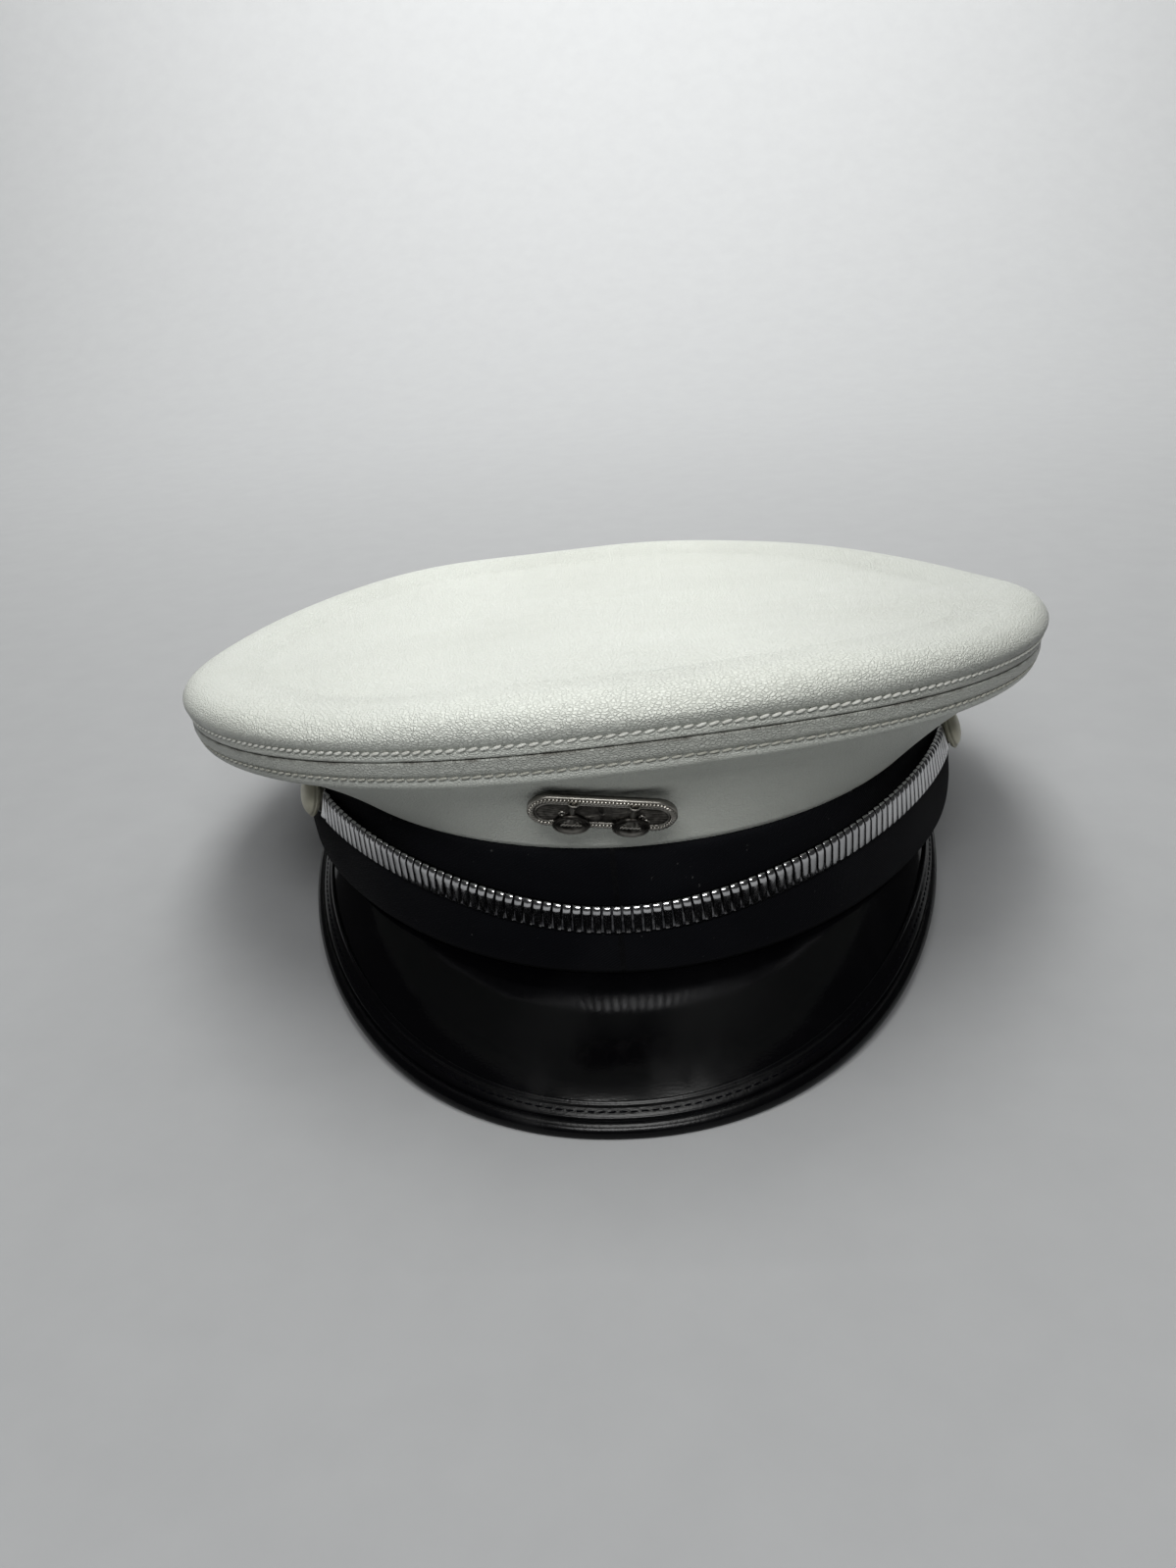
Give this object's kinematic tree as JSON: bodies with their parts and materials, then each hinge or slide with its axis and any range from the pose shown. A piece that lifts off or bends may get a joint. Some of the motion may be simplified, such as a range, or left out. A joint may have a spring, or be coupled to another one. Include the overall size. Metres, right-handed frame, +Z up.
{
  "type": "peaked cap",
  "caption": "White-topped peaked cap with a wide stiffened crown, black cloth band, glossy black peak, ribbed metal strap on side buttons and an oblong front badge.",
  "frame": {"origin": "middle of the cap's bounding box on the surface that it stands on", "axes": "+Z up, -Y to the front where the peak is, +X to the right as seen from the front"},
  "size_m": [0.2449, 0.2727, 0.0886],
  "materials": {
    "white_vinyl": "white grained vinyl, satin, slightly soiled",
    "black_cloth": "matt black woven cloth",
    "black_patent": "glossy black patent",
    "bright_metal": "bright silver-coloured metal, lightly worn",
    "button_metal": "pale satin metal",
    "badge_metal": "aged silver-coloured metal, dark in the hollows"
  },
  "bodies": {
    "root": {"crown_top": "white_vinyl", "crown_side": "white_vinyl", "band": "black_cloth", "peak": "black_patent", "peak_binding": "black_patent", "strap": "bright_metal", "strap_end_left": "bright_metal", "strap_end_right": "bright_metal", "side_button_left": "button_metal", "side_button_right": "button_metal", "badge": "badge_metal"}
  },
  "joints": []
}
